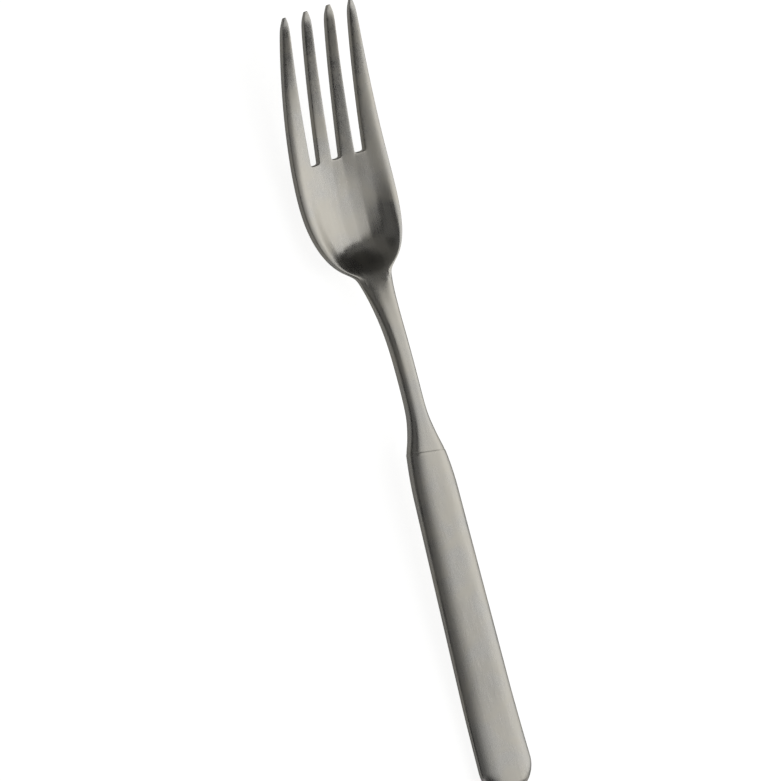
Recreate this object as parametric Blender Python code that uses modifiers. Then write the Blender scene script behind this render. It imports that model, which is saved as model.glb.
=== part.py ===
"""Four-tine serving fork in stainless steel: a forged head plugged into a hollow handle of two pressed shells.

Fork axes: origin in the middle of the handle's mouth, +Y to the tines, +X to the right, +Z to the front.
An empty then tips the whole fork until it lies on its handle end and the back of its bowl.
"""

import math

import bmesh
import bpy
import numpy as np

# Head, lengths from the handle's mouth
HEAD_LENGTH = 0.12435
TINE_LENGTH = 0.0410
SHANK_LENGTH = 0.0511
BOWL_FOOT_LENGTH = 0.0234
FLARE_LENGTH = 0.0130

# Head, across
BOWL_WIDTH = 0.0311
TIP_SPAN = 0.0235
SHANK_WIDTH = 0.0056
NECK_SPREAD = 0.0025
SLOT_PITCH = 0.0074
SLOT_ROOT_WIDTH = 0.00235
SLOT_TIP_WIDTH = 0.0046
TINE_NOSE = 0.0044

# Head, thickness and bend
SHANK_THICKNESS = 0.0040
BOWL_THICKNESS = 0.0020
TINE_TIP_THICKNESS = 0.0017
BOWL_DROP = 0.0076
TIP_RISE = 0.0081
DISH_DEPTH = 0.0042
TIP_DISH = 0.0005
HEEL_LENGTH = 0.0130
HEEL_LEAD = 0.0036
DISH_RUNOUT = 0.0135

# Handle shells
HANDLE_LENGTH = 0.0949
MOUTH_WIDTH = 0.0125
MOUTH_THICKNESS = 0.0065
NECK_WIDTH = 0.0134
NECK_THICKNESS = 0.0069
END_WIDTH = 0.0171
END_THICKNESS = 0.0062
MOUTH_SHOULDER = 0.0150
END_ROUND = 0.0080
END_EDGE_ROUND = 0.0030
END_LIFT = 0.0011
END_LIFT_LENGTH = 0.0280
BACK_LAND_WIDTH = 0.0080
SHELL_WALL = 0.0008
SEAM_GAP = 0.0002

# Joint between head and handle
MOUTH_STEP = 0.00015
FIT_CLEARANCE = 0.0003
SPIGOT_LENGTH = 0.0060
TANG_LENGTH = 0.0390
TANG_WIDTH = 0.0052
TANG_THICKNESS = 0.0030
TANG_END_WIDTH = 0.0034
TANG_END_THICKNESS = 0.0020
TANG_NOTCH = 0.0006
BRAZE_RADIUS = 0.0005
CEMENT_COVER = 0.0050

# Form of the sections: power of the rounded outline, 2 is an ellipse
SHANK_POWER = 3.2
HANDLE_POWER = 2.4
TANG_POWER = 5.0
DISH_POWER = 1.6

TINES = 4
COLUMNS = 3 * TINES
SLOT_COLUMNS = [3 * tine + 2 for tine in range(TINES - 1)]
CAGE_FULLNESS = 1.0
EDGE_FIRMNESS = 0.25

TIP_Y = HEAD_LENGTH
ROOT_Y = HEAD_LENGTH - TINE_LENGTH
FOOT_Y = SHANK_LENGTH
WIDEST_Y = SHANK_LENGTH + BOWL_FOOT_LENGTH
SEAT_Y = FIT_CLEARANCE


def smooth(value, start, end):
    """0 before start, 1 after end, with a soft S between."""
    t = min(max((value - start) / (end - start), 0.0), 1.0)
    return t * t * (3.0 - 2.0 * t)


def mix(a, b, t):
    return a + (b - a) * t


def fade(distance, length, power):
    """1 at no distance, falling to 0 over the length."""
    return max(1.0 - distance / length, 0.0) ** power


def round_end(distance, length):
    """Quarter ellipse: 0 at the very end, 1 from the given length on."""
    return math.sqrt(1.0 - (1.0 - min(max(distance / length, 0.0), 1.0)) ** 2)


def rounded(angle, half_width, half_thickness, power):
    """Point of a superellipse at an angle from +X."""
    c, s = math.cos(angle), math.sin(angle)
    x = math.copysign(abs(c) ** (2.0 / power), c) * half_width
    z = math.copysign(abs(s) ** (2.0 / power), s) * half_thickness
    return x, z


# Form of the head

def head_half_width(y):
    if y >= WIDEST_Y:
        taper = ((y - WIDEST_Y) / (TIP_Y - WIDEST_Y)) ** 1.6
        outline = mix(BOWL_WIDTH, TIP_SPAN, taper) / 2
    else:
        share = min((WIDEST_Y - y) / BOWL_FOOT_LENGTH, 1.0)
        outline = BOWL_WIDTH / 2 * (1.0 - share ** 2.5) ** 0.4
    run = min(max((y - 2 * FLARE_LENGTH) / (FOOT_Y - 2 * FLARE_LENGTH), 0.0), 1.0)
    neck = SHANK_WIDTH / 2 + NECK_SPREAD * run ** 2.5
    flare = (MOUTH_WIDTH / 2 - MOUTH_STEP - SHANK_WIDTH / 2) * fade(y, FLARE_LENGTH, 1.25)
    return (outline ** 8 + neck ** 8) ** (1 / 8) + flare


def head_half_thickness(y):
    thick = mix(SHANK_THICKNESS, BOWL_THICKNESS, smooth(y, 0.6 * FOOT_Y, FOOT_Y + 0.4 * BOWL_FOOT_LENGTH))
    if y > ROOT_Y:
        thick = mix(BOWL_THICKNESS, TINE_TIP_THICKNESS, (y - ROOT_Y) / TINE_LENGTH)
    flare = (MOUTH_THICKNESS / 2 - MOUTH_STEP - SHANK_THICKNESS / 2) * fade(y, FLARE_LENGTH, 1.25)
    return thick / 2 + flare


def rim_height(y):
    """Height of the bowl's rim, and of the middle of the shank, over the handle's axis."""
    height = -BOWL_DROP * smooth(y, 0.48 * FOOT_Y, WIDEST_Y)
    start = WIDEST_Y + 0.0025
    if y > start:
        height += TIP_RISE * ((y - start) / (TIP_Y - start)) ** 1.75
    return height


def dish_depth(y):
    """How far the middle of the bowl lies under its rim: a steep heel, then a floor that runs out at the tines."""
    heel_y = FOOT_Y - HEEL_LEAD
    deep_y = heel_y + HEEL_LENGTH
    if y < deep_y:
        return DISH_DEPTH * smooth(y, heel_y, deep_y)
    return mix(TIP_DISH, DISH_DEPTH, math.exp(-((y - deep_y) / DISH_RUNOUT) ** 2))


def slot_width(y):
    run = min(max((y - ROOT_Y) / TINE_LENGTH, 0.0), 1.0)
    return mix(SLOT_ROOT_WIDTH, SLOT_TIP_WIDTH, run ** 0.9)


def tine_edges(y):
    """Left and right edge of each tine, from left to right, before the noses are rounded."""
    gap = slot_width(y)
    cuts = [(slot - (TINES - 2) / 2) * SLOT_PITCH for slot in range(TINES - 1)]
    scale = min(head_half_width(y) / head_half_width(ROOT_Y), 1.0) if y < ROOT_Y else 1.0
    lefts = [-head_half_width(y)] + [(cut + gap / 2) * scale for cut in cuts]
    rights = [(cut - gap / 2) * scale for cut in cuts] + [head_half_width(y)]
    return list(zip(lefts, rights))


def sheet_row(y):
    """Front and back points of the cage across bowl or tines."""
    half_width = head_half_width(y)
    nose = max(round_end(TIP_Y - y, TINE_NOSE), 0.35)
    half = head_half_thickness(y) * max(nose, 0.5)
    row = []
    for left, right in tine_edges(y):
        for side in (-1, 0, 1):
            x = (left + right) / 2 + side * (right - left) / 2 * nose * CAGE_FULLNESS
            wall = smooth((abs(x) / half_width) ** DISH_POWER, 0.0, 1.0)
            z = rim_height(y) - dish_depth(y) * (1.0 - wall)
            row.append(((x, y, z + half), (x, y, z - half)))
    return row


def bar_row(y, half_width, half_thickness, power, height=0.0):
    """Front and back points of the cage round a bar of rounded section."""
    row = []
    for column in range(COLUMNS):
        angle = math.pi * (1.0 - (column + 0.5) / COLUMNS)
        x, z = rounded(angle, half_width, half_thickness, power)
        row.append(((x, y, height + z), (x, y, height - z)))
    return row


def head_spread(y):
    """How far the round shank has opened into the sheet of the bowl."""
    return smooth(y, FOOT_Y - 0.3 * BOWL_FOOT_LENGTH, FOOT_Y + 0.42 * BOWL_FOOT_LENGTH)


def head_row(y):
    power = mix(HANDLE_POWER, SHANK_POWER, smooth(y, SEAT_Y, FLARE_LENGTH))
    bar = bar_row(y, head_half_width(y), head_half_thickness(y), power, rim_height(y))
    spread = head_spread(y)
    if spread == 0.0:
        return bar
    pairs = zip(bar, sheet_row(y))
    return [
        tuple(tuple(np.array(p) * (1.0 - spread) + np.array(q) * spread) for p, q in zip(on_bar, on_sheet))
        for on_bar, on_sheet in pairs
    ]


# Form of the tang

def tang_sections(clearance):
    """(y, half width, half thickness) along the tang, notched on both sides to key into the cement."""
    notches = [0.0, 0.26, 0.34, 0.44, 0.58, 0.66, 0.76, 1.0]
    cut = [0, 0, 1, 0, 0, 1, 0, 0]
    start = -SPIGOT_LENGTH
    return [
        (
            start - share * (TANG_LENGTH + clearance),
            mix(TANG_WIDTH, TANG_END_WIDTH, share) / 2 - TANG_NOTCH * notch + clearance,
            mix(TANG_THICKNESS, TANG_END_THICKNESS, share) / 2 + clearance,
        )
        for share, notch in zip(notches, cut)
    ]


# Form of the handle

def handle_half(d, mouth, neck, end):
    """Half width or half thickness of the handle at a distance from its mouth, before the end is rounded."""
    return mix(neck, end, d / HANDLE_LENGTH) / 2 - (neck - mouth) / 2 * fade(d, MOUTH_SHOULDER, 2.0)


def handle_section(d, inset):
    """Half width and half thickness of the shells' outside, or of their inside when inset by the wall."""
    left = HANDLE_LENGTH - inset - d
    half_width = handle_half(d, MOUTH_WIDTH, NECK_WIDTH, END_WIDTH) - inset
    half_thickness = handle_half(d, MOUTH_THICKNESS, NECK_THICKNESS, END_THICKNESS) - inset
    return (
        half_width * round_end(left, END_ROUND - inset),
        half_thickness * round_end(left, max(END_EDGE_ROUND - inset, 0.001)),
    )


def handle_height(d):
    """How far the handle's axis has turned up towards its end."""
    return END_LIFT * (1.0 - min((HANDLE_LENGTH - d) / END_LIFT_LENGTH, 1.0)) ** 1.5


def handle_stations(inset):
    """Distances from the mouth: close on the shoulder, wide on the straight part, close on the round end."""
    shoulder = [MOUTH_SHOULDER * (step / 6) ** 1.5 for step in range(7)]
    straight_end = HANDLE_LENGTH - END_LIFT_LENGTH
    round_start = HANDLE_LENGTH - END_ROUND
    lift = [mix(straight_end, round_start, step / 4) for step in range(4)]
    rounding = [
        round_start + (END_ROUND - inset) * math.sin(math.pi / 2 * step / 10) for step in range(11)
    ]
    return shoulder + lift + rounding


def shell_row(d, inset, facing, land):
    """Points across one half shell, from its right seam to its left seam."""
    half_width, half_thickness = handle_section(d, inset)
    last = math.acos(min(land, 1.0) ** (HANDLE_POWER / 2)) if land else math.pi / 2
    arc = [last * step / 8 for step in range(9)]
    angles = arc + [math.pi - angle for angle in reversed(arc if land else arc[:-1])]
    row = []
    for angle in angles:
        x, z = rounded(angle, half_width, half_thickness, HANDLE_POWER)
        row.append((x, -d, handle_height(d) + facing * (z + SEAM_GAP / 2)))
    return row


# Making the objects

def collection(name, shown):
    made = bpy.data.collections.new(name)
    made.hide_render = not shown
    bpy.context.scene.collection.children.link(made)
    return made


def material(name, colour, metallic, roughness):
    made = bpy.data.materials.new(name)
    made.use_nodes = True
    shader = made.node_tree.nodes["Principled BSDF"]
    shader.inputs["Base Color"].default_value = (*colour, 1.0)
    shader.inputs["Metallic"].default_value = metallic
    shader.inputs["Roughness"].default_value = roughness
    return made


def two_sided_grid(outer, inner, dropped=(), creased=(), firmness=None):
    """Closed mesh between two layers of points given row by row.

    Faces named in dropped, as (row, column), are left open right through both layers.
    Edges along the rows named in creased stay sharp when the mesh is subdivided, and the rims of both layers
    stay as firm as firmness says for each row.
    """
    rows, columns = len(outer), len(outer[0])
    mesh = bmesh.new()
    bmesh.ops.create_grid(mesh, x_segments=columns - 1, y_segments=rows - 1, size=1.0)
    place = {}
    for vert in mesh.verts:
        column = round((vert.co.x + 1.0) / 2.0 * (columns - 1))
        row = round((vert.co.y + 1.0) / 2.0 * (rows - 1))
        place[vert] = (row, column)
    holes = [face for face in mesh.faces if min(place[vert] for vert in face.verts) in dropped]
    bmesh.ops.delete(mesh, geom=holes, context="FACES")
    kept = {vert: place[vert] for vert in mesh.verts}
    by_place = {spot: vert for vert, spot in kept.items()}
    made = bmesh.ops.extrude_face_region(mesh, geom=mesh.faces[:], use_keep_orig=True)
    lifted = [item for item in made["geom"] if isinstance(item, bmesh.types.BMVert)]
    spots = {}
    for vert in lifted:
        column = round((vert.co.x + 1.0) / 2.0 * (columns - 1))
        row = round((vert.co.y + 1.0) / 2.0 * (rows - 1))
        spots[vert] = (row, column)
    crease = mesh.edges.layers.float.new("crease_edge")
    row_of = {vert: spot[0] for vert, spot in list(kept.items()) + list(spots.items())}
    for edge in mesh.edges:
        first, second = edge.verts
        if row_of[first] == row_of[second] and row_of[first] in creased:
            edge[crease] = 1.0
        elif firmness and (first in spots) == (second in spots):
            walls = [face for face in edge.link_faces if len({vert in spots for vert in face.verts}) == 2]
            if walls:
                edge[crease] = min(firmness[row_of[first]], firmness[row_of[second]])
    for spot, vert in by_place.items():
        vert.co = inner[spot[0]][spot[1]]
    for vert, spot in spots.items():
        vert.co = outer[spot[0]][spot[1]]
    bmesh.ops.remove_doubles(mesh, verts=mesh.verts[:], dist=1e-7)
    bmesh.ops.recalc_face_normals(mesh, faces=mesh.faces[:])
    return mesh


def mesh_object(name, mesh, where, finish, rest):
    data = bpy.data.meshes.new(name)
    mesh.to_mesh(data)
    mesh.free()
    data.shade_smooth()
    data.set_sharp_from_angle(angle=math.radians(35))
    made = bpy.data.objects.new(name, data)
    made.data.materials.append(finish)
    made.parent = rest
    where.objects.link(made)
    return made


def head_rows():
    """Cage rows from the tips to the end of the tang, the row of the slot roots, the sharp rows and the rims' firmness."""
    noses = [0.0, 0.18, 0.5, 1.0]
    tines = [TIP_Y - TINE_NOSE * share for share in noses]
    tines += [mix(TIP_Y - TINE_NOSE, ROOT_Y, share) for share in (0.2, 0.38, 0.55, 0.7, 0.83, 0.93, 1.0)]
    bowl = [mix(ROOT_Y, WIDEST_Y, share) for share in (0.2, 0.6, 1.0)]
    bowl += [mix(WIDEST_Y, FOOT_Y, share) for share in (0.18, 0.34, 0.48, 0.6, 0.7, 0.79, 0.87, 0.94, 1.0)]
    shank = [mix(FOOT_Y, FLARE_LENGTH, share) for share in (0.045, 0.11, 0.2, 0.33, 0.5, 0.75, 1.0)]
    flare = [mix(FLARE_LENGTH, SEAT_Y, share) for share in (0.3, 0.55, 0.78, 1.0)]
    stations = tines + bowl + shank + flare
    rows = [head_row(y) for y in stations]
    root_row = len(tines) - 1
    half_width = MOUTH_WIDTH / 2 - SHELL_WALL - FIT_CLEARANCE
    half_thickness = MOUTH_THICKNESS / 2 - SHELL_WALL - FIT_CLEARANCE
    sharp = [len(rows) - 1, len(rows), len(rows) + 1, len(rows) + 2]
    rows.append(bar_row(SEAT_Y, half_width, half_thickness, HANDLE_POWER))
    rows.append(bar_row(-SPIGOT_LENGTH, half_width, half_thickness, HANDLE_POWER))
    rows += [bar_row(y, width, thick, TANG_POWER) for y, width, thick in tang_sections(0.0)]
    sharp.append(len(rows) - 1)
    firmness = [EDGE_FIRMNESS * head_spread(y) for y in stations] + [0.0] * (len(rows) - len(stations))
    return rows, root_row, sharp, firmness


def fork_head(where, finish, rest):
    rows, root_row, sharp, firmness = head_rows()
    fronts = [[front for front, _ in row] for row in rows]
    backs = [[back for _, back in row] for row in rows]
    slots = {(row, column) for row in range(root_row) for column in SLOT_COLUMNS}
    cage = two_sided_grid(fronts, backs, slots, sharp, firmness)
    made = mesh_object("fork_head", cage, where, finish, rest)
    soft = made.modifiers.new("forged_form", "SUBSURF")
    soft.levels = 1
    soft.render_levels = 1
    return made


def handle_shell(name, facing, land, where, finish, rest):
    outer = [shell_row(d, 0.0, facing, land) for d in handle_stations(0.0)]
    inner = [shell_row(d, SHELL_WALL, facing, land) for d in handle_stations(SHELL_WALL)]
    return mesh_object(name, two_sided_grid(outer, inner), where, finish, rest)


def seam_braze(where, finish, rest):
    """Bead along both inner seams and round the end, laid as a curve and meshed."""
    inset = SHELL_WALL + FIT_CLEARANCE + BRAZE_RADIUS
    start = SPIGOT_LENGTH + 3 * FIT_CLEARANCE
    run = [d for d in handle_stations(inset) if d > start and handle_section(d, inset)[0] > BRAZE_RADIUS]
    side = [(handle_section(d, inset)[0], -d, handle_height(d)) for d in [start] + run]
    end = (0.0, inset - HANDLE_LENGTH, handle_height(HANDLE_LENGTH - inset))
    path = side + [end] + [(-x, y, z) for x, y, z in reversed(side)]
    curve = bpy.data.curves.new("seam_braze_path", "CURVE")
    curve.dimensions = "3D"
    curve.bevel_depth = BRAZE_RADIUS
    curve.bevel_resolution = 2
    curve.use_fill_caps = True
    spline = curve.splines.new("POLY")
    spline.points.add(len(path) - 1)
    for point, place in zip(spline.points, path):
        point.co = (*place, 1.0)
    guide = bpy.data.objects.new("seam_braze_path", curve)
    where.objects.link(guide)
    bpy.context.view_layer.update()
    mesh = bmesh.new()
    mesh.from_mesh(bpy.data.meshes.new_from_object(guide.evaluated_get(bpy.context.evaluated_depsgraph_get())))
    bmesh.ops.remove_doubles(mesh, verts=mesh.verts[:], dist=1e-6)
    bmesh.ops.recalc_face_normals(mesh, faces=mesh.faces[:])
    bpy.data.objects.remove(guide)
    return mesh_object("seam_braze", mesh, where, finish, rest)


def bar_mesh(sections, power):
    """Closed bar through (y, half width, half thickness) sections."""
    rows = [bar_row(y, half_width, half_thickness, power) for y, half_width, half_thickness in sections]
    return two_sided_grid([[front for front, _ in row] for row in rows], [[back for _, back in row] for row in rows])


def tang_cement(where, cutters, finish, rest):
    """Plug that fills the handle round the tang, inside the braze bead."""
    first = SPIGOT_LENGTH + FIT_CLEARANCE
    last = SPIGOT_LENGTH + TANG_LENGTH + CEMENT_COVER
    sections = []
    for share in (0.0, 0.06, 0.15, 0.3, 0.65, 1.0):
        d = mix(first, last, share)
        half_width, half_thickness = handle_section(d, SHELL_WALL + FIT_CLEARANCE)
        sections.append((-d, half_width - 2 * BRAZE_RADIUS - FIT_CLEARANCE, half_thickness))
    made = mesh_object("tang_cement", bar_mesh(sections, HANDLE_POWER), where, finish, rest)
    hole = tang_sections(FIT_CLEARANCE)
    hole[0] = (hole[0][0] + FIT_CLEARANCE + SPIGOT_LENGTH / 2, hole[0][1], hole[0][2])
    cutter = mesh_object("tang_hole", bar_mesh(hole, TANG_POWER), cutters, finish, rest)
    cutter.display_type = "WIRE"
    cutter.hide_render = True
    cut = made.modifiers.new("tang_hole", "BOOLEAN")
    cut.operation = "DIFFERENCE"
    cut.solver = "EXACT"
    cut.object = cutter
    return made


def world_points(parts):
    """Points of the finished parts in fork axes."""
    bpy.context.view_layer.update()
    graph = bpy.context.evaluated_depsgraph_get()
    found = []
    for part in parts:
        data = part.evaluated_get(graph).to_mesh()
        points = np.empty(len(data.vertices) * 3)
        data.vertices.foreach_get("co", points)
        found.append(points.reshape(-1, 3))
    return np.concatenate(found)


def lay_down(rest, parts):
    """Tips the fork onto the line under its middle that touches the table, and centres it over the origin."""
    points = world_points(parts)
    hull = []
    for y, z in sorted(map(tuple, points[:, 1:])):
        while len(hull) > 1 and (
            (hull[-1][0] - hull[-2][0]) * (z - hull[-2][1]) <= (hull[-1][1] - hull[-2][1]) * (y - hull[-2][0])
        ):
            hull.pop()
        hull.append((y, z))
    middle = points[:, 1].mean()
    near, far = next(edge for edge in zip(hull, hull[1:]) if edge[1][0] >= middle)
    tilt = math.atan2(far[1] - near[1], far[0] - near[0])
    c, s = math.cos(-tilt), math.sin(-tilt)
    y = c * points[:, 1] - s * points[:, 2]
    z = s * points[:, 1] + c * points[:, 2]
    rest.rotation_euler = (-tilt, 0.0, 0.0)
    x = points[:, 0]
    rest.location = (-(x.min() + x.max()) / 2, -(y.min() + y.max()) / 2, -z.min())


def main():
    for old in list(bpy.data.objects):
        bpy.data.objects.remove(old)
    fork = collection("serving_fork", True)
    cutters = collection("cutters", False)
    rest = bpy.data.objects.new("rest_on_table", None)
    fork.objects.link(rest)
    forged = material("forged_stainless_steel", (0.60, 0.58, 0.55), 1.0, 0.32)
    pressed = material("pressed_stainless_steel", (0.62, 0.60, 0.57), 1.0, 0.30)
    pressed_back = material("pressed_stainless_steel_back", (0.61, 0.59, 0.56), 1.0, 0.34)
    braze = material("silver_braze", (0.78, 0.70, 0.52), 1.0, 0.45)
    cement = material("handle_cement", (0.42, 0.38, 0.33), 0.0, 0.90)
    parts = [
        fork_head(fork, forged, rest),
        handle_shell("handle_front_shell", 1.0, 0.0, fork, pressed, rest),
        handle_shell("handle_back_shell", -1.0, BACK_LAND_WIDTH / END_WIDTH, fork, pressed_back, rest),
        seam_braze(fork, braze, rest),
        tang_cement(fork, cutters, cement, rest),
    ]
    lay_down(rest, parts)


main()
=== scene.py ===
"""Dressed scene of a four-tine serving fork: a forged head plugged into a hollow handle of two shells.

Lengths are in metres. Fork axes: origin in the middle of the handle's mouth, +Y to the tines, +X to the
right, +Z to the front. Each piece is made in fork axes and then laid on the table.
"""

import logging
import math
from collections import Counter
from collections.abc import Collection, Sequence
from dataclasses import dataclass, field
from enum import Enum
from typing import Any

import bmesh
import bpy
from mathutils import Matrix, Vector


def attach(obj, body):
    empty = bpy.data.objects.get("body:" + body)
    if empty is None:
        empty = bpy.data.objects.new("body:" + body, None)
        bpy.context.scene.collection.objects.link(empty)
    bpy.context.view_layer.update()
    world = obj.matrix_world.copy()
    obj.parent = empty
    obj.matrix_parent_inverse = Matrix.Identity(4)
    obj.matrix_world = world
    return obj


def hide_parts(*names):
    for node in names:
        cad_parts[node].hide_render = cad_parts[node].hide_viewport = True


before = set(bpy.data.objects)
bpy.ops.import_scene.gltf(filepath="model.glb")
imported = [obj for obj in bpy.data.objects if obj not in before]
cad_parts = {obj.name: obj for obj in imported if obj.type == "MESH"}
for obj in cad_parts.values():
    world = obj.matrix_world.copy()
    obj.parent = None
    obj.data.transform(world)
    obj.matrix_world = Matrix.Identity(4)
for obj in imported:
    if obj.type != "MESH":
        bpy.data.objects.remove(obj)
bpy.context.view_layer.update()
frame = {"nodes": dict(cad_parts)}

log = logging.getLogger("serving_fork")

Point = tuple[float, float, float]
Row = list[Point]
FrontBack = tuple[Point, Point]
Spot = tuple[int, int]
Powers = tuple[float, float]

BODY = "root"
BRUSH_MAP = "brush"
MM = 0.001
WHITE = (1.0, 1.0, 1.0, 1.0)
SHARP_ANGLE = math.radians(35)
WELD_DISTANCE = 1e-7


def smooth(value: float, start: float, end: float) -> float:
    """Eases from 0 at start to 1 at end.

    Args:
        value: Place on the run.
        start: Place where the run begins.
        end: Place where the run is over.

    Returns:
        A share from 0 to 1 on a soft S.
    """
    t = min(max((value - start) / (end - start), 0.0), 1.0)
    return t * t * (3.0 - 2.0 * t)


def mix(a: float, b: float, t: float) -> float:
    """Gives the value at share t of the way from a to b."""
    return a + (b - a) * t


def fade(distance: float, length: float, power: float = 2.0) -> float:
    """Gives 1 at no distance, falling to 0 over the length by a power."""
    return max(1.0 - distance / length, 0.0) ** power


def round_end(distance: float, length: float) -> float:
    """Gives a quarter ellipse: 0 at the very end, 1 from the given length on."""
    return math.sqrt(1.0 - (1.0 - min(max(distance / length, 0.0), 1.0)) ** 2)


def rounded(angle: float, half_width: float, half_thickness: float, powers: Powers) -> tuple[float, float]:
    """Finds a point on a rounded outline.

    Args:
        angle: Angle from +X towards +Z, in radians.
        half_width: Reach of the outline along X.
        half_thickness: Reach of the outline along Z.
        powers: Powers of the outline across and at its edges; 2 and 2 make an ellipse, more is flatter.

    Returns:
        The point's X and Z.
    """
    c, s = math.cos(angle), math.sin(angle)
    x = math.copysign(abs(c) ** (2.0 / powers[0]), c) * half_width
    z = math.copysign(abs(s) ** (2.0 / powers[1]), s) * half_thickness
    return x, z


def linear(hex_colour: str) -> tuple[float, float, float, float]:
    """Turns an sRGB hex colour into the linear colour that a shader takes.

    Args:
        hex_colour: Colour as "#rrggbb".

    Returns:
        Linear red, green, blue and an alpha of 1.
    """
    shares = [int(hex_colour[at:at + 2], 16) / 255.0 for at in (1, 3, 5)]
    red, green, blue = (s / 12.92 if s <= 0.04045 else ((s + 0.055) / 1.055) ** 2.4 for s in shares)
    return red, green, blue, 1.0


def add_node(
    tree: bpy.types.NodeTree,
    kind: str,
    settings: dict[str | int, Any] | None = None,
    links: dict[str | int, bpy.types.NodeSocket] | None = None,
) -> bpy.types.Node:
    """Adds a shader node with its settings and incoming links.

    Args:
        tree: Node tree that takes the node.
        kind: Type name of the node.
        settings: Values by name or number of an input, or by name of a property.
        links: Outputs of other nodes by name or number of the input that they feed.

    Returns:
        The new node.
    """
    node = tree.nodes.new(kind)
    for key, value in (settings or {}).items():
        if isinstance(key, int) or key in node.inputs:
            node.inputs[key].default_value = value
        else:
            setattr(node, key, value)
    for key, output in (links or {}).items():
        tree.links.new(output, node.inputs[key])
    return node


def empty_material(name: str) -> tuple[bpy.types.Material, bpy.types.NodeTree]:
    """Makes a material without nodes.

    Args:
        name: Name of the material.

    Returns:
        The material and its node tree.
    """
    made = bpy.data.materials.new(name)
    made.use_nodes = True
    made.node_tree.nodes.clear()
    return made, made.node_tree


@dataclass(frozen=True)
class SatinSteel:
    """18/10 stainless steel, satin-brushed along the fork.

    The brushing leaves fine streaks along the piece, so reflections spread across it more than along it, and
    hand finishing leaves soft patches that are a little warmer or cooler and a little more or less polished.
    """

    name: str
    warm: str = "#c9c5bb"
    cool: str = "#bdbbb6"
    roughness: float = 0.29
    roughness_spread: float = 0.06
    brushing: float = 0.60
    # A brushing stroke is about 0.05 mm wide; it is drawn 0.35 mm wide, or it would be finer than a pixel
    stroke_width_mm: float = 0.35
    stroke_length_mm: float = 24.0
    stroke_depth_mm: float = 0.004
    stroke_relief: float = 0.35
    patch_mm: float = 8.0
    # Spans of the noise that run from cool to warm, and from most to least polished
    tint_span: tuple[float, float] = (0.35, 0.65)
    polish_span: tuple[float, float] = (0.7, 1.3)

    def material(self) -> bpy.types.Material:
        """Makes the steel.

        Returns:
            The material, with its strokes in object coordinates and its brushing along the brush map.
        """
        made, tree = empty_material(self.name)
        place = add_node(tree, "ShaderNodeTexCoord").outputs["Object"]
        across, along = 1.0 / (self.stroke_width_mm * MM), 1.0 / (self.stroke_length_mm * MM)
        stretched = add_node(
            tree, "ShaderNodeMapping", {"Scale": (across, along, across)}, {"Vector": place}
        ).outputs["Vector"]
        strokes = add_node(
            tree, "ShaderNodeTexNoise", {"Scale": 1.0, "Detail": 3.0, "Roughness": 0.6}, {"Vector": stretched}
        ).outputs["Fac"]
        patches = add_node(
            tree,
            "ShaderNodeTexNoise",
            {"Scale": 1.0 / (self.patch_mm * MM), "Detail": 2.0, "Roughness": 0.5, "Distortion": 0.4},
            {"Vector": place},
        ).outputs["Fac"]
        tint = add_node(
            tree,
            "ShaderNodeMapRange",
            {"From Min": self.tint_span[0], "From Max": self.tint_span[1]},
            {"Value": patches},
        ).outputs["Result"]
        colour = add_node(
            tree,
            "ShaderNodeMix",
            {"data_type": "RGBA", 6: linear(self.cool), 7: linear(self.warm)},
            {0: tint},
        ).outputs[2]
        blend = add_node(
            tree, "ShaderNodeMath", {"operation": "ADD"}, {0: strokes, 1: patches}
        ).outputs["Value"]
        polish = add_node(
            tree,
            "ShaderNodeMapRange",
            {
                "From Min": self.polish_span[0],
                "From Max": self.polish_span[1],
                "To Min": self.roughness - self.roughness_spread,
                "To Max": self.roughness + self.roughness_spread,
            },
            {"Value": blend},
        ).outputs["Result"]
        grooves = add_node(
            tree,
            "ShaderNodeBump",
            {"Strength": self.stroke_relief, "Distance": self.stroke_depth_mm * MM},
            {"Height": strokes},
        ).outputs["Normal"]
        brushed = add_node(
            tree, "ShaderNodeTangent", {"direction_type": "UV_MAP", "uv_map": BRUSH_MAP}
        ).outputs["Tangent"]
        steel = add_node(
            tree,
            "ShaderNodeBsdfPrincipled",
            {"Metallic": 1.0, "Anisotropic": self.brushing},
            {"Base Color": colour, "Roughness": polish, "Normal": grooves, "Tangent": brushed},
        ).outputs["BSDF"]
        add_node(tree, "ShaderNodeOutputMaterial", links={"Surface": steel})
        return made


@dataclass(frozen=True)
class FlowedBraze:
    """Silver brazing filler, left as it flowed: a pale yellow metal with a slightly rippled, dulled skin."""

    name: str = "silver_braze_as_flowed"
    bright: str = "#e4dabd"
    dull: str = "#b9ab87"
    ripple_mm: float = 1.2
    ripple_depth_mm: float = 0.05
    ripple_relief: float = 0.4
    dull_roughness: float = 0.55
    bright_roughness: float = 0.38

    def material(self) -> bpy.types.Material:
        """Makes the braze.

        Returns:
            The material.
        """
        made, tree = empty_material(self.name)
        place = add_node(tree, "ShaderNodeTexCoord").outputs["Object"]
        ripple = add_node(
            tree,
            "ShaderNodeTexNoise",
            {"Scale": 1.0 / (self.ripple_mm * MM), "Detail": 3.0},
            {"Vector": place},
        ).outputs["Fac"]
        colour = add_node(
            tree,
            "ShaderNodeMix",
            {"data_type": "RGBA", 6: linear(self.dull), 7: linear(self.bright)},
            {0: ripple},
        ).outputs[2]
        polish = add_node(
            tree,
            "ShaderNodeMapRange",
            {"To Min": self.dull_roughness, "To Max": self.bright_roughness},
            {"Value": ripple},
        ).outputs["Result"]
        skin = add_node(
            tree,
            "ShaderNodeBump",
            {"Strength": self.ripple_relief, "Distance": self.ripple_depth_mm * MM},
            {"Height": ripple},
        ).outputs["Normal"]
        metal = add_node(
            tree,
            "ShaderNodeBsdfPrincipled",
            {"Metallic": 1.0},
            {"Base Color": colour, "Roughness": polish, "Normal": skin},
        ).outputs["BSDF"]
        add_node(tree, "ShaderNodeOutputMaterial", links={"Surface": metal})
        return made


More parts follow.
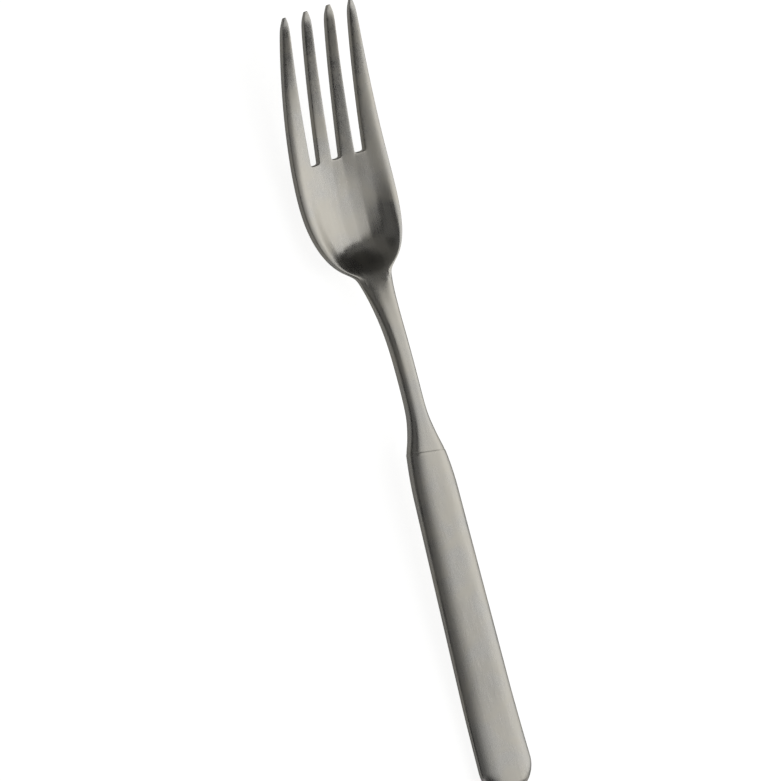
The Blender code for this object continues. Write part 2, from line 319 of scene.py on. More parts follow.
@dataclass(frozen=True)
class SetCement:
    """Hard-setting handle cement, left as it set: matt, gritty and grey-brown, with paler grains."""

    name: str = "handle_cement_as_set"
    paste: str = "#a3998b"
    grain: str = "#c4baa9"
    grain_mm: float = 0.5
    grain_depth_mm: float = 0.08
    grain_relief: float = 0.6
    paste_roughness: float = 0.82
    grain_roughness: float = 0.96

    def material(self) -> bpy.types.Material:
        """Makes the cement.

        Returns:
            The material.
        """
        made, tree = empty_material(self.name)
        place = add_node(tree, "ShaderNodeTexCoord").outputs["Object"]
        grit = add_node(
            tree,
            "ShaderNodeTexNoise",
            {"Scale": 1.0 / (self.grain_mm * MM), "Detail": 4.0, "Roughness": 0.7},
            {"Vector": place},
        ).outputs["Fac"]
        colour = add_node(
            tree,
            "ShaderNodeMix",
            {"data_type": "RGBA", 6: linear(self.paste), 7: linear(self.grain)},
            {0: grit},
        ).outputs[2]
        dryness = add_node(
            tree,
            "ShaderNodeMapRange",
            {"To Min": self.paste_roughness, "To Max": self.grain_roughness},
            {"Value": grit},
        ).outputs["Result"]
        relief = add_node(
            tree,
            "ShaderNodeBump",
            {"Strength": self.grain_relief, "Distance": self.grain_depth_mm * MM},
            {"Height": grit},
        ).outputs["Normal"]
        cement = add_node(
            tree,
            "ShaderNodeBsdfPrincipled",
            links={"Base Color": colour, "Roughness": dryness, "Normal": relief},
        ).outputs["BSDF"]
        add_node(tree, "ShaderNodeOutputMaterial", links={"Surface": cement})
        return made


@dataclass(frozen=True)
class PaleTable:
    """White laminate table top: matt and plain, so it reads as white and takes a soft shadow."""

    name: str = "white_laminate_table"
    colour: str = "#ececea"
    glow_to_camera: float = 0.86
    glow_in_metal: float = 0.12

    def material(self) -> bpy.types.Material:
        """Makes the table top.

        Returns:
            The material; its glow is seen by the camera and in reflections and lights nothing.
        """
        made, tree = empty_material(self.name)
        path = add_node(tree, "ShaderNodeLightPath").outputs
        seen = add_node(
            tree,
            "ShaderNodeMath",
            {"operation": "MAXIMUM"},
            {0: path["Is Camera Ray"], 1: path["Is Transmission Ray"]},
        ).outputs["Value"]
        direct = add_node(
            tree, "ShaderNodeMath", {"operation": "MULTIPLY", 1: self.glow_to_camera}, {0: seen}
        ).outputs["Value"]
        strength = add_node(
            tree,
            "ShaderNodeMath",
            {"operation": "MULTIPLY_ADD", 1: self.glow_in_metal},
            {0: path["Is Glossy Ray"], 2: direct},
        ).outputs["Value"]
        glow = add_node(
            tree, "ShaderNodeEmission", {"Color": WHITE}, {"Strength": strength}
        ).outputs["Emission"]
        matt = add_node(tree, "ShaderNodeBsdfDiffuse", {"Color": linear(self.colour)}).outputs["BSDF"]
        top = add_node(tree, "ShaderNodeAddShader", links={0: glow, 1: matt}).outputs["Shader"]
        add_node(tree, "ShaderNodeOutputMaterial", links={"Surface": top})
        return made


@dataclass(frozen=True)
class RestPose:
    """How the fork lies, as the CAD model does: on the end of its handle and on the back of its bowl."""

    tilt: float = math.radians(3.5135184647)
    place: Point = (0.0, -0.014653, 0.007690)

    def lay(self, mesh: bmesh.types.BMesh) -> None:
        """Lays a mesh made in fork axes on the table."""
        pose = Matrix.Translation(self.place) @ Matrix.Rotation(self.tilt, 4, "X")
        bmesh.ops.transform(mesh, matrix=pose, verts=mesh.verts[:])


def two_sided_grid(
    outer: Sequence[Row],
    inner: Sequence[Row],
    dropped: Collection[Spot] = (),
    creased: Collection[int] = (),
    firmness: Sequence[float] = (),
) -> bmesh.types.BMesh:
    """Makes a closed mesh between two layers of points, with a brush map that runs across and along it.

    Args:
        outer: Points of the outer layer, row by row.
        inner: Points of the inner layer, row by row.
        dropped: Faces, as row and column, that are left open right through both layers.
        creased: Rows whose edges stay sharp when the mesh is subdivided.
        firmness: For each row, how firm the rims of both layers stay when the mesh is subdivided.

    Returns:
        The mesh.
    """
    rows, columns = len(outer), len(outer[0])
    mesh = bmesh.new()
    crease = mesh.edges.layers.float.new("crease_edge")
    brush = mesh.loops.layers.uv.new(BRUSH_MAP)
    grid = [(row, column) for row in range(rows) for column in range(columns)]
    above = {(row, column): mesh.verts.new(outer[row][column]) for row, column in grid}
    below = {(row, column): mesh.verts.new(inner[row][column]) for row, column in grid}
    spots = {vert: spot for layer in (above, below) for spot, vert in layer.items()}
    on_top = set(above.values())
    sides: Counter[tuple[Spot, Spot]] = Counter()
    for row, column in grid:
        if row == rows - 1 or column == columns - 1 or (row, column) in dropped:
            continue
        corners = [(row, column), (row, column + 1), (row + 1, column + 1), (row + 1, column)]
        mesh.faces.new([above[corner] for corner in corners])
        mesh.faces.new([below[corner] for corner in reversed(corners)])
        sides.update((min(pair), max(pair)) for pair in zip(corners, corners[1:] + corners[:1]))
    rims = [pair for pair, faces in sides.items() if faces == 1]
    for first, second in rims:
        mesh.faces.new((above[first], above[second], below[second], below[first]))
    for edge in mesh.edges:
        start, end = (spots[vert][0] for vert in edge.verts)
        if start == end and start in creased:
            edge[crease] = 1.0
    for first, second in rims if firmness else ():
        if first[0] == second[0] and first[0] in creased:
            continue
        for layer in (above, below):
            rim = mesh.edges.get((layer[first], layer[second]))
            rim[crease] = min(firmness[first[0]], firmness[second[0]])
    for face in mesh.faces:
        for loop in face.loops:
            row, column = spots[loop.vert]
            turn = column if loop.vert in on_top else 2 * columns - column
            loop[brush].uv = (turn / (2 * columns), row / rows)
    bmesh.ops.remove_doubles(mesh, verts=mesh.verts[:], dist=WELD_DISTANCE)
    bmesh.ops.recalc_face_normals(mesh, faces=mesh.faces[:])
    return mesh


def make_piece(name: str, mesh: bmesh.types.BMesh, rest: RestPose) -> bpy.types.Object:
    """Makes a smooth-shaded object of a mesh and lays it on the table.

    Args:
        name: Name of the piece.
        mesh: Its mesh in fork axes, which is used up.
        rest: How the fork lies.

    Returns:
        The piece.
    """
    rest.lay(mesh)
    data = bpy.data.meshes.new(name)
    mesh.to_mesh(data)
    mesh.free()
    data.shade_smooth()
    data.set_sharp_from_angle(angle=SHARP_ANGLE)
    piece = bpy.data.objects.new(name, data)
    bpy.context.scene.collection.objects.link(piece)
    return piece


def dress_piece(piece: bpy.types.Object, finish: SatinSteel, node: str) -> None:
    """Gives a piece its finish and ties it to the CAD model.

    Args:
        piece: The piece.
        finish: What it is made of.
        node: CAD node that it stands for.
    """
    piece.data.materials.append(finish.material())
    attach(piece, BODY)
    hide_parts(node)
    log.info("%s stands for %s in %s", piece.name, node, finish.name)


@dataclass(frozen=True)
class HollowHandle:
    """The handle: two pressed half shells that meet along the sides and round the end."""

    # Outline and thickness
    length: float = 0.0949
    mouth_width: float = 0.0116
    mouth_thickness: float = 0.0065
    neck_width: float = 0.0134
    neck_thickness: float = 0.0069
    end_width: float = 0.0171
    end_thickness: float = 0.0062
    mouth_shoulder: float = 0.0105
    end_round: float = 0.0080
    end_edge_round: float = 0.0030
    least_edge_round: float = 0.0010
    end_lift: float = 0.0011
    end_lift_length: float = 0.0280
    end_lift_power: float = 1.5
    back_land_width: float = 0.0080
    wall: float = 0.0008
    seam_gap: float = 0.00001
    mouth_round: float = 0.0006
    mouth_sink: float = 0.00010
    # Joint line: how far it leads to the tines, its slant across the fork and how far both reach
    joint_lead: float = 0.0016
    joint_slant: float = -0.16
    joint_reach: float = 0.0130
    # Front: its share of half the thickness, at the mouth and at the end, and the hollow's share of that
    front_rise: float = 0.82
    end_front_rise: float = 0.66
    hollow_share: float = 1.15
    front_powers: Powers = (3.5, 1.7)
    back_powers: Powers = (2.4, 2.4)
    # Rows and columns of points
    steps_across: int = 28
    mouth_rows: tuple[float, ...] = (0.0, 0.15, 0.4, 0.7)
    shoulder_steps: int = 14
    shoulder_crowding: float = 1.3
    straight_steps: int = 30
    end_steps: int = 26

    class Side(Enum):
        """Which half of the handle a shell makes."""

        FRONT = 1.0
        BACK = -1.0

    def half(self, d: float, mouth: float, neck: float, end: float) -> float:
        """Finds half the width or thickness of the handle before its end is rounded.

        Args:
            d: Distance from the mouth.
            mouth: Full size at the mouth.
            neck: Full size that the straight taper starts from.
            end: Full size that the straight taper ends at.

        Returns:
            Half the size at that distance.
        """
        return mix(neck, end, d / self.length) / 2 - (neck - mouth) / 2 * fade(d, self.mouth_shoulder)

    def section(self, d: float, inset: float) -> tuple[float, float]:
        """Finds half the width and half the thickness of the outside, or of the inside when inset.

        Args:
            d: Distance from the mouth.
            inset: Depth under the outside.

        Returns:
            Half width and half thickness.
        """
        left = self.length - inset - d
        half_width = self.half(d, self.mouth_width, self.neck_width, self.end_width) - inset
        half_thickness = self.half(d, self.mouth_thickness, self.neck_thickness, self.end_thickness) - inset
        return (
            half_width * round_end(left, self.end_round - inset),
            half_thickness * round_end(left, max(self.end_edge_round - inset, self.least_edge_round)),
        )

    def height(self, d: float) -> float:
        """Gives how far the handle's axis has turned up at a distance from the mouth."""
        return self.end_lift * fade(self.length - d, self.end_lift_length, self.end_lift_power)

    def slanted(self, point: Point) -> Point:
        """Moves a point of head or handle with the joint, which leads to the tines and runs a little aslant.

        Args:
            point: Point made for a square joint.

        Returns:
            The moved point; away from the joint it stays where it is.
        """
        x, y, z = point
        return x, y + (self.joint_lead + self.joint_slant * x) * fade(abs(y), self.joint_reach), z

    def stations(self, inset: float) -> list[float]:
        """Lists the distances from the mouth where the shells have a row of points.

        Args:
            inset: Depth under the outside.

        Returns:
            Distances, close together on the mouth's edge, on the shoulder and on the round end.
        """
        edge = [self.mouth_round * share for share in self.mouth_rows]
        shoulder = [
            mix(self.mouth_round, self.mouth_shoulder, (step / self.shoulder_steps) ** self.shoulder_crowding)
            for step in range(self.shoulder_steps + 1)
        ]
        round_start = self.length - self.end_round
        straight = [
            mix(self.mouth_shoulder, round_start, step / self.straight_steps)
            for step in range(1, self.straight_steps)
        ]
        rounding = [
            round_start + (self.end_round - inset) * math.sin(math.pi / 2 * step / self.end_steps)
            for step in range(self.end_steps + 1)
        ]
        return edge + shoulder + straight + rounding

    def row(self, d: float, inset: float, side: Side) -> Row:
        """Lists the points across one half shell, from its right seam to its left seam.

        Args:
            d: Distance from the mouth.
            inset: Depth under the outside.
            side: Which half shell.

        Returns:
            The points; on the back they leave a flat land down the middle.
        """
        half_width, half_thickness = self.section(d, inset)
        if side is self.Side.BACK:
            land, powers, scale = self.back_land_width / self.end_width, self.back_powers, -1.0
        else:
            land, powers = 0.0, self.front_powers
            scale = mix(self.front_rise, self.end_front_rise, d / self.length)
            scale *= 1.0 if inset == 0.0 else self.hollow_share
        last = math.acos(land ** (powers[0] / 2)) if land else math.pi / 2
        arc = [last * step / self.steps_across for step in range(self.steps_across + 1)]
        angles = arc + [math.pi - angle for angle in reversed(arc if land else arc[:-1])]
        sunk = self.mouth_sink * fade(d, self.mouth_round) if inset == 0.0 else 0.0
        row: Row = []
        for angle in angles:
            x, z = rounded(angle, half_width - sunk, half_thickness - sunk, powers)
            row.append(self.slanted((x, -d, self.height(d) + scale * z + side.value * self.seam_gap / 2)))
        return row

    def build(self, side: Side, rest: RestPose) -> bpy.types.Object:
        """Builds one half shell.

        Args:
            side: Which half shell.
            rest: How the fork lies.

        Returns:
            The shell.
        """
        outer = [self.row(d, 0.0, side) for d in self.stations(0.0)]
        inner = [self.row(d, self.wall, side) for d in self.stations(self.wall)]
        return make_piece(f"{side.name.lower()}_shell", two_sided_grid(outer, inner), rest)

    def dress(self, piece: bpy.types.Object, side: Side, finish: SatinSteel) -> None:
        """Gives a half shell its finish and ties it to its CAD node."""
        dress_piece(piece, finish, f"handle_{side.name.lower()}_shell")


@dataclass(frozen=True)
class ForkHead:
    """The forged head: tines, dished bowl, shank and flared shoulder, with spigot and notched tang behind."""

    handle: HollowHandle = field(default_factory=HollowHandle)
    # Lengths along the fork
    length: float = 0.12435
    tine_length: float = 0.0410
    tine_nose: float = 0.0044
    shank_length: float = 0.0511
    bowl_foot_length: float = 0.0234
    flare_length: float = 0.0130
    # Outline from the front
    tines: int = 4
    bowl_width: float = 0.0304
    tip_span: float = 0.0235
    taper_power: float = 1.6
    foot_powers: Powers = (2.3, 0.385)
    shank_width: float = 0.0058
    neck_spread: float = 0.0025
    neck_spread_power: float = 2.5
    neck_blend_power: float = 8.0
    flare_power: float = 1.25
    slot_pitch: float = 0.00735
    slot_root_width: float = 0.0030
    slot_tip_width: float = 0.0047
    nose_least_width: float = 0.35
    nose_least_thickness: float = 0.5
    # Thickness; it changes from the shank's to the bowl's between a share of the shank and one of the foot
    shank_thickness: float = 0.0041
    bowl_thickness: float = 0.0020
    tine_tip_thickness: float = 0.0017
    thinning: tuple[float, float] = (0.84, 0.4)
    # Height from the side; the drop starts at a share of the shank, the rise past the widest line
    bowl_drop: float = 0.0076
    drop_start: float = 0.48
    tip_rise: float = 0.0081
    tip_rise_start: float = 0.0025
    tip_rise_power: float = 1.75
    # Dish, its heel and the lip on its rim
    dish_deepest: float = 0.0040
    front_dish: float = 0.95
    tip_dish: float = 0.0002
    heel_length: float = 0.0105
    heel_lead: float = 0.0030
    dish_runout: float = 0.0275
    heel_dish_power: float = 2.3
    root_dish_power: float = 2.0
    lip_height: float = 0.0005
    heel_lip_gain: float = -0.6
    tip_lip_gain: float = -0.7
    lip_width: float = 0.0017
    tine_crown: float = 0.00015
    tine_crown_power: int = 4
    tine_crown_reach: float = 0.004
    # Where the round shank opens into the bowl's sheet: shares of the foot before and after the shank's end
    opening: tuple[float, float] = (0.3, 0.42)
    shank_front_powers: Powers = (3.2, 1.8)
    shank_back_powers: Powers = (2.6, 2.6)
    # Shoulder that meets the handle, and the spigot and tang inside it
    mouth_step: float = 0.00004
    seat: float = 0.00002
    shoulder_round: float = 0.0008
    fit_clearance: float = 0.0003
    spigot_length: float = 0.0060
    tang_length: float = 0.0390
    tang_width: float = 0.0052
    tang_thickness: float = 0.0030
    tang_end_width: float = 0.0034
    tang_end_thickness: float = 0.0020
    tang_notch: float = 0.0006
    tang_shares: tuple[float, ...] = (0.0, 0.26, 0.34, 0.44, 0.58, 0.66, 0.76, 1.0)
    tang_notched: tuple[bool, ...] = (False, False, True, False, False, True, False, False)
    tang_powers: Powers = (5.0, 5.0)
    # Rows of the cage, as shares of each stretch from the tips to the handle, and its points across a tine
    nose_rows: tuple[float, ...] = (0.0, 0.18, 0.5, 1.0)
    tine_rows: tuple[float, ...] = (0.2, 0.38, 0.55, 0.7, 0.82, 0.93, 0.983, 1.0)
    bowl_rows: tuple[float, ...] = (0.07, 0.28, 0.62, 1.0)
    foot_rows: tuple[float, ...] = (0.18, 0.34, 0.48, 0.6, 0.7, 0.79, 0.87, 0.94, 1.0)
    shank_rows: tuple[float, ...] = (0.045, 0.11, 0.2, 0.33, 0.5, 0.75, 1.0)
    flare_rows: tuple[float, ...] = (0.3, 0.55, 0.78, 1.0)
    shoulder_rows: tuple[float, ...] = (0.5, 0.8, 0.95, 1.0)
    tine_columns: tuple[float, ...] = (-1.0, -0.8, -0.42, 0.42, 0.8, 1.0)
    edge_firmness: float = 0.25
    subdivisions: int = 3

    @property
    def columns(self) -> int:
        """Number of points across the head."""
        return self.tines * len(self.tine_columns)

    @property
    def root_y(self) -> float:
        """Place of the slots' roots along the fork."""
        return self.length - self.tine_length

    @property
    def widest_y(self) -> float:
        """Place of the bowl's widest line along the fork."""
        return self.shank_length + self.bowl_foot_length

    def half_width(self, y: float) -> float:
        """Finds half the width of the head.

        Args:
            y: Place along the fork.

        Returns:
            Half the width over bowl and tines, or of shank and flare.
        """
        if y >= self.widest_y:
            taper = ((y - self.widest_y) / (self.length - self.widest_y)) ** self.taper_power
            outline = mix(self.bowl_width, self.tip_span, taper) / 2
        else:
            share = min((self.widest_y - y) / self.bowl_foot_length, 1.0)
            outline = self.bowl_width / 2 * (1.0 - share ** self.foot_powers[0]) ** self.foot_powers[1]
        slim = 2 * self.flare_length
        run = min(max((y - slim) / (self.shank_length - slim), 0.0), 1.0)
        neck = self.shank_width / 2 + self.neck_spread * run ** self.neck_spread_power
        mouth = self.handle.mouth_width / 2 - self.mouth_step - self.shank_width / 2
        blend = self.neck_blend_power
        joined = (outline ** blend + neck ** blend) ** (1 / blend)
        return joined + mouth * fade(y, self.flare_length, self.flare_power)

    def half_thickness(self, y: float) -> float:
        """Finds half the thickness of the head.

        Args:
            y: Place along the fork.

        Returns:
            Half the thickness of shank, bowl or tines.
        """
        start = self.thinning[0] * self.shank_length
        end = self.shank_length + self.thinning[1] * self.bowl_foot_length
        thick = mix(self.shank_thickness, self.bowl_thickness, smooth(y, start, end))
        if y > self.root_y:
            thick = mix(self.bowl_thickness, self.tine_tip_thickness, (y - self.root_y) / self.tine_length)
        mouth = self.handle.mouth_thickness / 2 - self.mouth_step - self.shank_thickness / 2
        return thick / 2 + mouth * fade(y, self.flare_length, self.flare_power)

    def rim_height(self, y: float) -> float:
        """Finds the height of the bowl's rim, and of the middle of the shank, over the handle's axis.

        Args:
            y: Place along the fork.

        Returns:
            The height.
        """
        height = -self.bowl_drop * smooth(y, self.drop_start * self.shank_length, self.widest_y)
        start = self.widest_y + self.tip_rise_start
        if y > start:
            height += self.tip_rise * ((y - start) / (self.length - start)) ** self.tip_rise_power
        return height

    def dish_depth(self, y: float) -> float:
        """Finds how far the middle of the bowl lies under its rim.

        Args:
            y: Place along the fork.

        Returns:
            The depth: a steep heel, then a floor that runs out at the tines.
        """
        heel_y = self.shank_length - self.heel_lead
        deep_y = heel_y + self.heel_length
        if y < deep_y:
            return self.dish_deepest * smooth(y, heel_y, deep_y)
        return mix(self.tip_dish, self.dish_deepest, math.exp(-((y - deep_y) / self.dish_runout) ** 2))

    def tine_edges(self, y: float) -> list[tuple[float, float]]:
        """Lists the left and right edge of each tine before the noses are rounded.

        Args:
            y: Place along the fork; on the bowl the edges run on as lines of the mesh.

        Returns:
            Edges from the left tine to the right tine.
        """
        run = min(max((y - self.root_y) / self.tine_length, 0.0), 1.0)
        gap = mix(self.slot_root_width, self.slot_tip_width, run)
        cuts = [(slot - (self.tines - 2) / 2) * self.slot_pitch for slot in range(self.tines - 1)]
        half = self.half_width(y)
        scale = min(half / self.half_width(self.root_y), 1.0) if y < self.root_y else 1.0
        lefts = [-half] + [(cut + gap / 2) * scale for cut in cuts]
        rights = [(cut - gap / 2) * scale for cut in cuts] + [half]
        return list(zip(lefts, rights))

    def sheet_row(self, y: float) -> list[FrontBack]:
        """Lists the front and back points across bowl or tines.

        Args:
            y: Place along the fork.

        Returns:
            Front and back point of each column.
        """
        half_width = self.half_width(y)
        nose = max(round_end(self.length - y, self.tine_nose), self.nose_least_width)
        half = self.half_thickness(y) * max(nose, self.nose_least_thickness)
        reach = self.tine_crown_reach
        crown = self.tine_crown * smooth(y, self.root_y - reach, self.root_y + reach)
        rim, depth = self.rim_height(y), self.dish_depth(y)
        row = []
        for left, right in self.tine_edges(y):
            for side in self.tine_columns:
                x = (left + right) / 2 + side * (right - left) / 2 * nose
                share = abs(x) / half_width
                front = rim + self.dish_profile(y, share, depth * self.front_dish) + half
                back = rim + self.dish_profile(y, share, depth) - half
                row.append(((x, y, front - crown * side ** self.tine_crown_power), (x, y, back)))
        return row

    def dish_profile(self, y: float, share: float, depth: float) -> float:
        """Finds the height of the bowl's sheet over the edge of its rim.

        Args:
            y: Place along the fork.
            share: Distance from the middle as a share of half the width.
            depth: Depth of the middle under the rim.

        Returns:
            The height: a dished floor that rises to the lip's crest, then a chamfer down to the edge.
        """
        at_heel = 1.0 - smooth(y, self.shank_length, self.widest_y)
        at_tips = smooth(y, self.root_y, self.length)
        lip = self.lip_height * (1.0 + self.heel_lip_gain * at_heel + self.tip_lip_gain * at_tips)
        crest = 1.0 - self.lip_width / self.half_width(y)
        if share > crest:
            return lip * (1.0 - (share - crest) / (1.0 - crest))
        power = mix(self.heel_dish_power, self.root_dish_power, smooth(y, self.shank_length, self.root_y))
        return lip - (depth + lip) * (1.0 - (share / crest) ** power)

    def bar_row(
        self,
        y: float,
        half_width: float,
        half_thickness: float,
        front: Powers,
        back: Powers,
        height: float = 0.0,
        rise: float = 1.0,
    ) -> list[FrontBack]:
        """Lists the front and back points round a bar of rounded section.

        Args:
            y: Place along the fork.
            half_width: Half the bar's width.
            half_thickness: Half the bar's thickness.
            front: Powers of the front's rounded outline.
            back: Powers of the back's rounded outline.
            height: Height of the bar's middle over the handle's axis.
            rise: Share of half the thickness that the front has.

        Returns:
            Front and back point of each column.
        """
        row = []
        for column in range(self.columns):
            angle = math.pi * (1.0 - (column + 0.5) / self.columns)
            x, z = rounded(angle, half_width, half_thickness, front)
            under_x, under_z = rounded(angle, half_width, half_thickness, back)
            row.append(((x, y, height + rise * z), (under_x, y, height - under_z)))
        return row

    def spread(self, y: float) -> float:
        """Gives how far the round shank has opened into the sheet of the bowl, from 0 to 1."""
        before, after = (share * self.bowl_foot_length for share in self.opening)
        return smooth(y, self.shank_length - before, self.shank_length + after)

    def row(self, y: float) -> list[FrontBack]:
        """Lists the front and back points of the cage across the head.

        Args:
            y: Place along the fork.

        Returns:
            Front and back point of each column, between a bar on the shank and a sheet on the bowl.
        """
        slim = smooth(y, self.seat, self.flare_length)
        front = tuple(mix(a, b, slim) for a, b in zip(self.handle.front_powers, self.shank_front_powers))
        back = tuple(mix(a, b, slim) for a, b in zip(self.handle.back_powers, self.shank_back_powers))
        sunk = self.handle.mouth_sink * fade(y - self.seat, self.shoulder_round)
        half_width, half_thickness = self.half_width(y) - sunk, self.half_thickness(y) - sunk
        rise = mix(self.handle.front_rise, 1.0, slim)
        bar = self.bar_row(y, half_width, half_thickness, front, back, self.rim_height(y), rise)
        share = self.spread(y)
        if share == 0.0:
            return bar
        sheet = self.sheet_row(y)
        return [
            tuple(tuple(Vector(p).lerp(Vector(q), share)) for p, q in zip(on_bar, on_sheet))
            for on_bar, on_sheet in zip(bar, sheet)
        ]

    def tang_rows(self) -> list[list[FrontBack]]:
        """Lists the rows of the tang, notched on both sides to key into the cement.

        Returns:
            Rows from the spigot to the tang's end.
        """
        return [
            self.bar_row(
                -self.spigot_length - share * self.tang_length,
                mix(self.tang_width, self.tang_end_width, share) / 2 - self.tang_notch * notched,
                mix(self.tang_thickness, self.tang_end_thickness, share) / 2,
                self.tang_powers,
                self.tang_powers,
            )
            for share, notched in zip(self.tang_shares, self.tang_notched)
        ]

    def build(self, rest: RestPose) -> bpy.types.Object:
        """Builds the head as a cage of rows from the tips to the tang's end, subdivided to its forged form.

        Args:
            rest: How the fork lies.

        Returns:
            The head.
        """
        nose_y = self.length - self.tine_nose
        tines = [self.length - self.tine_nose * share for share in self.nose_rows]
        tines += [mix(nose_y, self.root_y, share) for share in self.tine_rows]
        stations = tines[:]
        for start, end, shares in (
            (self.root_y, self.widest_y, self.bowl_rows),
            (self.widest_y, self.shank_length, self.foot_rows),
            (self.shank_length, self.flare_length, self.shank_rows),
            (self.flare_length, self.shoulder_round, self.flare_rows),
            (self.shoulder_round, self.seat, self.shoulder_rows),
        ):
            stations += [mix(start, end, share) for share in shares]
        rows = [self.row(y) for y in stations]
        firmness = [self.edge_firmness * self.spread(y) for y in stations]
        inset = self.handle.wall + self.fit_clearance
        half_width = self.handle.mouth_width / 2 - inset
        half_thickness = self.handle.mouth_thickness / 2 - inset
        sharp = [len(rows) - 1, len(rows), len(rows) + 1, len(rows) + 2]
        for y in (self.seat, -self.spigot_length):
            powers = self.handle.front_powers, self.handle.back_powers
            rows.append(self.bar_row(y, half_width, half_thickness, *powers, rise=self.handle.front_rise))
        rows += self.tang_rows()
        sharp.append(len(rows) - 1)
        firmness += [0.0] * (len(rows) - len(stations))
        slot_columns = [(tine + 1) * len(self.tine_columns) - 1 for tine in range(self.tines - 1)]
        slots = {(row, column) for row in range(len(tines) - 1) for column in slot_columns}
        fronts = [[self.handle.slanted(front) for front, _ in row] for row in rows]
        backs = [[self.handle.slanted(back) for _, back in row] for row in rows]
        piece = make_piece("head", two_sided_grid(fronts, backs, slots, sharp, firmness), rest)
        forged = piece.modifiers.new("forged_form", "SUBSURF")
        forged.levels = self.subdivisions
        forged.render_levels = self.subdivisions
        return piece

    def dress(self, piece: bpy.types.Object, finish: SatinSteel) -> None:
        """Gives the head its finish and ties it to its CAD node."""
        dress_piece(piece, finish, "fork_head")


@dataclass(frozen=True)
class HiddenJoint:
    """The braze bead and the cement plug inside the handle, whose CAD shapes are kept."""

    braze: FlowedBraze = field(default_factory=FlowedBraze)
    cement: SetCement = field(default_factory=SetCement)

    def dress(self, nodes: dict[str, bpy.types.Object]) -> None:
        """Gives both CAD nodes their finish.

        Args:
            nodes: CAD objects by node name.
        """
        for node, finish in (("seam_braze", self.braze), ("tang_cement", self.cement)):
            for slot in nodes[node].material_slots:
                slot.material = finish.material()
            log.info("%s keeps its CAD shape, in %s", node, finish.name)


@dataclass(frozen=True)
class Softbox:
    """A rectangular studio light that faces the fork, placed by two angles in degrees."""

    name: str
    around: float
    along: float
    width: float
    height: float
    radiance: float
    distance: float = 1.3
    aim: Point = (0.0, 0.03, 0.01)

    def build(self) -> bpy.types.Object:
        """Builds the light.

        Returns:
            The light, at its angle round the fork from +X over the top and its angle along it to the tines.
        """
        around, along = math.radians(self.around), math.radians(self.along)
        reach = math.cos(along)
        out = Vector((reach * math.cos(around), math.sin(along), reach * math.sin(around)))
        data = bpy.data.lights.new(self.name, "AREA")
        data.shape = "RECTANGLE"
        data.size = self.width
        data.size_y = self.height
        data.energy = self.radiance * math.pi * self.width * self.height
        lamp = bpy.data.objects.new(self.name, data)
        side = Vector((0.0, 1.0, 0.0)).cross(out).normalized()
        turn = Matrix((side, out.cross(side), out)).transposed()
        lamp.matrix_world = Matrix.Translation(Vector(self.aim) + out * self.distance) @ turn.to_4x4()
        lamp.visible_camera = False
        bpy.context.scene.collection.objects.link(lamp)
        log.info("%s lights the fork", self.name)
        return lamp


@dataclass(frozen=True)
class PhotoCamera:
    """A long-lens camera that looks down on the fork from its left."""

    roll: float = math.radians(31.359252)
    pitch: float = math.radians(5.274157)
    spin: float = math.radians(-15.813765)
    pixels_per_mm: float = 3.7086954
    centre: tuple[float, float] = (397.61733, 406.69003)
    image: tuple[int, int] = (780, 781)
    distance: float = 1.5
    sensor_mm: float = 36.0

    def build(self) -> bpy.types.Object:
        """Builds the camera and makes it the scene's.

        Returns:
            The camera.
        """
        back = Vector((-math.sin(self.roll), 0.0, math.cos(self.roll)))
        right = Vector((math.cos(self.roll), 0.0, math.sin(self.roll)))
        along = Vector((0.0, 1.0, 0.0))
        out = back * math.cos(self.pitch) + along * math.sin(self.pitch)
        level = along * math.cos(self.pitch) - back * math.sin(self.pitch)
        side = right * math.cos(self.spin) + level * math.sin(self.spin)
        up = level * math.cos(self.spin) - right * math.sin(self.spin)
        shift_x = (self.image[0] / 2 - self.centre[0]) / self.pixels_per_mm * MM
        shift_y = (self.centre[1] - self.image[1] / 2) / self.pixels_per_mm * MM
        data = bpy.data.cameras.new("photo_camera")
        data.sensor_width = self.sensor_mm
        data.lens = self.pixels_per_mm * self.distance / MM / max(self.image) * self.sensor_mm
        camera = bpy.data.objects.new("photo_camera", data)
        turn = Matrix((side, up, out)).transposed()
        place = side * shift_x + up * shift_y + out * self.distance
        camera.matrix_world = Matrix.Translation(place) @ turn.to_4x4()
        bpy.context.scene.collection.objects.link(camera)
        bpy.context.scene.camera = camera
        return camera


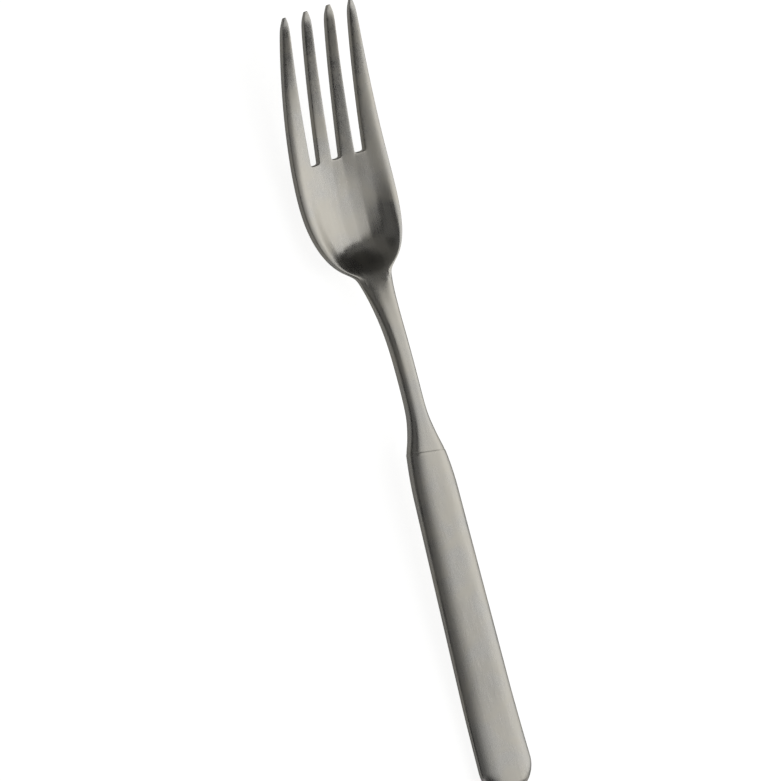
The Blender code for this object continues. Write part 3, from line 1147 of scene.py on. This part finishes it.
@dataclass(frozen=True)
class Studio:
    """White table, soft lights, a dim room and the camera."""

    camera: PhotoCamera = field(default_factory=PhotoCamera)
    table: PaleTable = field(default_factory=PaleTable)
    table_size: float = 8.0
    table_cells: int = 8
    room: float = 0.02
    lights: tuple[Softbox, ...] = (
        Softbox("side_softbox", 22.5, -5.0, 1.07, 1.00, 1.07),
        Softbox("high_softbox", 56.5, -4.0, 0.53, 0.95, 0.85),
        Softbox("overhead_handle_softbox", 79.0, -14.0, 0.50, 0.34, 0.54),
        Softbox("overhead_bowl_softbox", 79.0, 2.0, 0.50, 0.38, 0.70),
        Softbox("overhead_fill", 101.0, -14.0, 0.50, 0.34, 0.26),
        Softbox("left_fill", 133.5, 0.0, 1.02, 1.50, 0.12),
        Softbox("front_fill", 86.0, 40.0, 0.97, 0.95, 0.10),
        Softbox("tine_fill", 50.0, 30.0, 0.90, 0.45, 0.10),
        Softbox("low_corner_fill", 20.0, -45.0, 0.50, 0.80, 0.70),
        Softbox("low_left_fill", 160.0, -45.0, 0.50, 0.80, 0.60),
    )

    def build_table(self) -> bpy.types.Object:
        """Builds the table top.

        Returns:
            The table, as stage.
        """
        mesh = bmesh.new()
        cells = self.table_cells
        bmesh.ops.create_grid(mesh, x_segments=cells, y_segments=cells, size=self.table_size / 2)
        data = bpy.data.meshes.new("table")
        mesh.to_mesh(data)
        mesh.free()
        table = bpy.data.objects.new("table", data)
        table.data.materials.append(self.table.material())
        bpy.context.scene.collection.objects.link(table)
        return table

    def build_room(self) -> None:
        """Makes the surroundings: white to the camera, dim as light."""
        world = bpy.data.worlds.new("studio_room")
        world.use_nodes = True
        tree = world.node_tree
        tree.nodes.clear()
        path = add_node(tree, "ShaderNodeLightPath").outputs
        strength = add_node(
            tree,
            "ShaderNodeMapRange",
            {"To Min": self.room, "To Max": 1.0},
            {"Value": path["Is Camera Ray"]},
        ).outputs["Result"]
        backdrop = add_node(
            tree, "ShaderNodeBackground", {"Color": WHITE}, {"Strength": strength}
        ).outputs["Background"]
        add_node(tree, "ShaderNodeOutputWorld", links={"Surface": backdrop})
        bpy.context.scene.world = world

    def build(self) -> None:
        """Builds the whole studio."""
        self.build_table()
        self.build_room()
        for light in self.lights:
            light.build()
        self.camera.build()
        bpy.context.scene.view_settings.view_transform = "Standard"


def main() -> None:
    """Builds the fork and its studio."""
    logging.basicConfig(level=logging.INFO, format="%(message)s")
    rest = RestPose()
    handle = HollowHandle()
    head = ForkHead(handle)
    head.dress(head.build(rest), SatinSteel("stainless_steel_forged_satin"))
    for side, finish in (
        (HollowHandle.Side.FRONT, SatinSteel("stainless_steel_pressed_satin")),
        (HollowHandle.Side.BACK, SatinSteel("stainless_steel_pressed_satin_back")),
    ):
        handle.dress(handle.build(side, rest), side, finish)
    HiddenJoint().dress(frame["nodes"])
    Studio().build()


if __name__ == "__main__":
    main()
